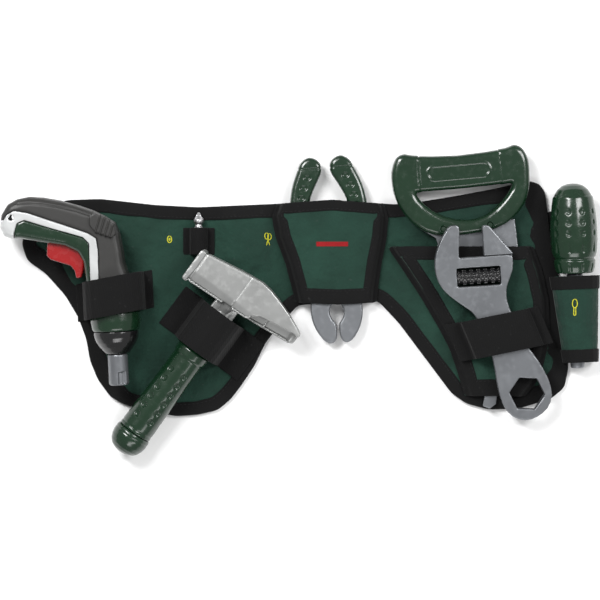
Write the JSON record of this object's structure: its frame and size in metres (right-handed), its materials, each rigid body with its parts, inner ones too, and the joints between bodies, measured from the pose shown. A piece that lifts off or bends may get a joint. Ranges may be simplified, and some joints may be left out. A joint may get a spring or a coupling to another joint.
{
  "type": "toy tool belt",
  "caption": "Child's fabric tool belt with loops and pockets that hold a toy cordless screwdriver, hammer, pliers, saw, wrench, screwdriver and bit.",
  "frame": {"origin": "centre of the bounding box on the surface the belt lies on", "axes": "+X along the belt towards the screwdriver's end, +Y towards the belt's top edge, +Z out of the front"},
  "size_m": [0.5378, 0.2804, 0.057],
  "materials": {
    "green_fabric": "woven polyester, slightly shiny",
    "black_tape": "ribbed binding tape",
    "elastic": "ribbed elastic",
    "webbing": "woven webbing",
    "hook_loop": "hook-and-loop pile",
    "green_plastic": "glossy moulded",
    "silver_plastic": "satin silver-grey moulded",
    "red_plastic": "glossy moulded",
    "white_plastic": "satin light grey moulded",
    "grey_rubber": "soft matt",
    "black_plastic": "glossy moulded",
    "steel": "bright",
    "battery": "wrapped cell"
  },
  "bodies": {
    "belt": {"belt_panel": "green_fabric", "panel_binding": "black_tape", "centre_flap": "green_fabric", "centre_flap_binding": "black_tape", "saw_pocket": "green_fabric", "saw_pocket_binding": "black_tape", "drill_loop": "elastic", "hammer_loop": "elastic", "bit_loop": "elastic", "wrench_loop": "elastic", "screwdriver_sheath": "green_fabric", "sheath_bottom_binding": "black_tape", "sheath_top_binding": "black_tape", "waist_strap_left": "webbing", "waist_strap_right": "webbing", "hook_patch": "hook_loop", "loop_patch": "hook_loop"},
    "drill": {"drill_case_front": "grey_rubber", "drill_case_back": "grey_rubber", "drill_trim_front": "white_plastic", "drill_trim_back": "white_plastic", "drill_grip_panel_front": "green_plastic", "drill_grip_panel_back": "green_plastic", "drill_screw_1": "steel", "drill_screw_2": "steel", "drill_screw_3": "steel", "drill_motor": "steel", "battery_front": "battery", "battery_back": "battery", "nose_ring": "green_plastic", "nose_cone": "black_plastic"},
    "trigger": {"drill_trigger": "red_plastic", "trigger_spring": "steel"},
    "direction_switch": {"direction_switch": "grey_rubber"},
    "bit_holder": {"bit_holder": "silver_plastic", "drill_spindle": "steel"},
    "spare_bit": {"spare_bit": "steel"},
    "hammer": {"hammer_grip": "green_plastic", "hammer_end_cap": "green_plastic", "hammer_core": "steel", "hammer_head": "silver_plastic"},
    "pliers": {"plier_pin": "steel"},
    "plier_left": {"jaw_half_left": "silver_plastic", "plier_grip_left": "green_plastic"},
    "plier_right": {"jaw_half_right": "silver_plastic", "plier_grip_right": "green_plastic"},
    "saw": {"saw_blade": "silver_plastic", "saw_handle_front": "green_plastic", "saw_handle_back": "green_plastic", "saw_rivet_1": "steel", "saw_rivet_2": "steel"},
    "wrench": {"wrench_body": "silver_plastic", "worm_pin": "steel"},
    "wrench_jaw": {"wrench_jaw": "silver_plastic"},
    "wrench_worm": {"wrench_worm": "black_plastic"},
    "screwdriver": {"driver_handle": "green_plastic", "driver_shaft": "silver_plastic"}
  },
  "joints": [
    {"name": "drill_slide", "type": "slide", "parent": "belt", "child": "drill", "axis": [-0.0523, 0.9977, 0.0436], "range_m": [0, 0.105]},
    {"name": "trigger_press", "type": "slide", "parent": "drill", "child": "trigger", "axis": [0.2995, 0.9532, 0.0409], "range_m": [0, 0.003], "stiffness_N_per_m": 400, "springref_m": -0.001},
    {"name": "direction_switch_slide", "type": "slide", "parent": "drill", "child": "direction_switch", "axis": [-0.912, 0.4097, 0.0199], "range_m": [-0.002, 0.002]},
    {"name": "bit_holder_spin", "type": "hinge", "parent": "drill", "child": "bit_holder", "pos_m": [-0.1633, -0.07665, 0.0262], "axis": [-0.0523, 0.9977, 0.0436], "continuous": true},
    {"name": "spare_bit_slide", "type": "slide", "parent": "belt", "child": "spare_bit", "axis": [0, 1, 0], "range_m": [0, 0.026]},
    {"name": "hammer_slide", "type": "slide", "parent": "belt", "child": "hammer", "axis": [0.5917, 0.8025, 0.0767], "range_m": [0, 0.149]},
    {"name": "pliers_slide", "type": "slide", "parent": "belt", "child": "pliers", "axis": [-0.0785, 0.9969, 0], "range_m": [0, 0.1]},
    {"name": "plier_left_turn", "type": "hinge", "parent": "pliers", "child": "plier_left", "pos_m": [0.0296, 0.0224, 0.0118], "axis": [0, 0, -1], "range_deg": [0, 5]},
    {"name": "plier_right_turn", "type": "hinge", "parent": "pliers", "child": "plier_right", "pos_m": [0.0296, 0.0224, 0.0118], "axis": [0, 0, 1], "range_deg": [0, 5]},
    {"name": "saw_slide", "type": "slide", "parent": "belt", "child": "saw", "axis": [-0.0871, 0.9954, 0.0401], "range_m": [0, 0.115]},
    {"name": "wrench_slide", "type": "slide", "parent": "belt", "child": "wrench", "axis": [-0.385, 0.9204, 0.068], "range_m": [0, 0.1]},
    {"name": "worm_turn", "type": "hinge", "parent": "wrench", "child": "wrench_worm", "pos_m": [0.15901, 0.02113, 0.02835], "axis": [0.9974, 0.0687, -0.0219], "range_deg": [-1800, 360]},
    {"name": "wrench_jaw_slide", "type": "slide", "parent": "wrench", "child": "wrench_jaw", "axis": [0.9974, 0.0687, -0.0219], "range_m": [-0.02, 0.004]},
    {"name": "screwdriver_slide", "type": "slide", "parent": "belt", "child": "screwdriver", "axis": [-0.0348, 0.9973, 0.0645], "range_m": [0, 0.085]}
  ],
  "couplings": [
    {"joint": "plier_right_turn", "follows": "plier_left_turn", "ratio": 1},
    {"joint": "wrench_jaw_slide", "follows": "worm_turn", "m_per_rad": 0.00063662}
  ]
}
